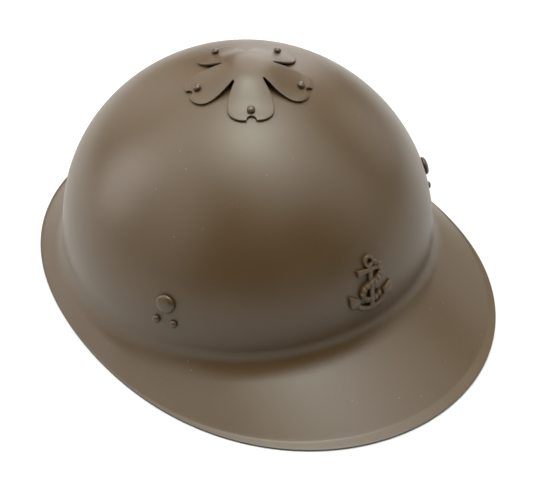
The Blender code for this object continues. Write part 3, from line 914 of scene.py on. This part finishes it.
def paint(name, dark, middle, light, roughness, edge=False):
    """Satin paint: clouded colour, fine grain, a few specks and the peel of a sprayed coat.

    With edge, the rim's cut edge gets painted shade, dark at its foot and fading out a little above it."""
    material = bpy.data.materials.new(name)
    material.use_nodes = True
    tree = material.node_tree
    shader = tree.nodes["Principled BSDF"]
    place = add_node(tree, "ShaderNodeTexCoord").outputs["Object"]
    clouds = noise_at(tree, place, *CLOUD_NOISE)
    grain = noise_at(tree, place, *GRAIN_NOISE)
    colour = mixed(tree, spread(tree, clouds, *CLOUD_RANGE, 0.0, 1.0), dark, light)
    colour = mixed(tree, MIDDLE_STRENGTH, colour, middle)
    colour = mixed(tree, spread(tree, grain, *GRAIN_RANGE, 0.0, GRAIN_STRENGTH), colour, light)
    specks = add_node(tree, "ShaderNodeTexVoronoi", inputs={"Vector": place, "Scale": 1.0 / SPECK_SPACING})
    speck = spread(tree, specks.outputs["Distance"], *SPECK_RANGE, SPECK_STRENGTH, 0.0)
    colour = mixed(tree, speck, colour, SPECK_COLOUR)
    if edge:
        # Painted shade on the rim's cut edge: dark at its foot, fading out a little higher up
        height = add_node(tree, "ShaderNodeSeparateXYZ", inputs={"Vector": place}).outputs["Z"]
        edge_shade = spread(tree, height, EDGE_SHADE_LOW, EDGE_SHADE_HIGH, EDGE_SHADE_STRENGTH, 0.0)
        colour = mixed(tree, edge_shade, colour, EDGE_SHADE_AND_DARKEST_PAINT)
    tree.links.new(colour, shader.inputs["Base Color"])
    clouded = spread(tree, clouds, *CLOUD_RANGE, roughness - SMOOTHER, roughness + ROUGHER)
    tree.links.new(clouded, shader.inputs["Roughness"])
    shader.inputs["IOR"].default_value = PAINT_IOR
    peel = noise_at(tree, place, *PEEL_NOISE)
    inputs = {"Height": peel, "Strength": PEEL_STRENGTH, "Distance": PEEL_DEPTH}
    bump = add_node(tree, "ShaderNodeBump", inputs=inputs)
    tree.links.new(bump.outputs["Normal"], shader.inputs["Normal"])
    return material


# Studio


def towards(azimuth, elevation):
    """Unit vector at an azimuth from the front, positive towards +X, and an elevation."""
    level = math.cos(elevation)
    return Vector((level * math.sin(azimuth), -level * math.cos(azimuth), math.sin(elevation)))


def make_floor():
    """A white floor that takes the helmet's shadow and turns into plain white farther out."""
    bm = bmesh.new()
    half = FLOOR_HALF_SIDE
    corners = [(-half, -half), (half, -half), (half, half), (-half, half)]
    bm.faces.new([bm.verts.new((x, y, -FLOOR_DROP)) for x, y in corners])
    mesh = bpy.data.meshes.new("floor")
    bm.to_mesh(mesh)
    bm.free()
    floor = bpy.data.objects.new("floor", mesh)
    bpy.context.scene.collection.objects.link(floor)
    material = bpy.data.materials.new("floor_white")
    material.use_nodes = True
    tree = material.node_tree
    shader = tree.nodes["Principled BSDF"]
    place = add_node(tree, "ShaderNodeTexCoord").outputs["Object"]
    length = add_node(tree, "ShaderNodeVectorMath", {"operation": "LENGTH"}, {0: place})
    ray = add_node(tree, "ShaderNodeLightPath").outputs["Is Camera Ray"]
    glow = spread(tree, length.outputs["Value"], FLOOR_NEAR, FLOOR_FAR, 0.0, 1.0)
    seen = add_node(tree, "ShaderNodeMath", {"operation": "MULTIPLY"}, {0: ray, 1: glow})
    tree.links.new(seen.outputs["Value"], shader.inputs["Emission Strength"])
    shader.inputs["Emission Color"].default_value = (1.0, 1.0, 1.0, 1.0)
    shader.inputs["Base Color"].default_value = (FLOOR_GREY, FLOOR_GREY, FLOOR_GREY, 1.0)
    shader.inputs["Roughness"].default_value = FLOOR_ROUGHNESS
    shader.inputs["Specular IOR Level"].default_value = 0.0
    mesh.materials.append(material)


def make_lights():
    for name, azimuth, elevation, size, watts in LIGHTS:
        data = bpy.data.lights.new(name, "AREA")
        data.shape = "DISK"
        data.size = size
        data.energy = watts
        if elevation >= TOP_LIGHTS_FROM:
            data.color = TOP_TINT
        light = bpy.data.objects.new(name, data)
        out = towards(math.radians(azimuth), math.radians(elevation))
        light.location = AIM + out * LIGHT_DISTANCE
        light.rotation_euler = out.to_track_quat("Z", "Y").to_euler()
        bpy.context.scene.collection.objects.link(light)


def make_world():
    """White where the camera looks, and a dim even fill on the helmet."""
    world = bpy.data.worlds.new("studio")
    bpy.context.scene.world = world
    world.use_nodes = True
    tree = world.node_tree
    background = tree.nodes["Background"]
    background.inputs["Color"].default_value = (1.0, 1.0, 1.0, 1.0)
    ray = add_node(tree, "ShaderNodeLightPath").outputs["Is Camera Ray"]
    strength = spread(tree, ray, 0.0, 1.0, WORLD_FILL, 1.0)
    tree.links.new(strength, background.inputs["Strength"])
    bpy.context.scene.view_settings.view_transform = "Standard"


def make_camera():
    data = bpy.data.cameras.new("camera")
    data.lens = CAMERA_LENS
    data.sensor_width = CAMERA_SENSOR
    camera = bpy.data.objects.new("camera", data)
    back = towards(CAMERA_AZIMUTH, CAMERA_ELEVATION)
    camera.location = CAMERA_PLACE
    camera.rotation_euler = back.to_track_quat("Z", "Y").to_euler()
    bpy.context.scene.collection.objects.link(camera)
    bpy.context.scene.camera = camera


# The shell's paint also carries the painted shade on the rim's cut edge
shell_paint = paint("shell_satin", PAINT_DARK, PAINT_MIDDLE, PAINT_LIGHT, SHELL_ROUGHNESS, edge=True)
cover_paint = paint("cover_satin", PAINT_DARK, PAINT_MIDDLE, PAINT_LIGHT, COVER_ROUGHNESS)
rivet_paint = paint("rivet_satin", EDGE_SHADE_AND_DARKEST_PAINT, PAINT_DARK, PAINT_MIDDLE, RIVET_ROUGHNESS)
badge_paint = paint("badge_satin", PAINT_DARK, PAINT_MIDDLE, PAINT_LIGHT, BADGE_ROUGHNESS)
make_camera()
make_world()
make_lights()
make_floor()
shell_plugs, cover_plugs = make_rivets(rivet_paint)
make_shell(shell_paint, shell_plugs)
make_cover(cover_paint, cover_plugs)
make_badge(badge_paint)
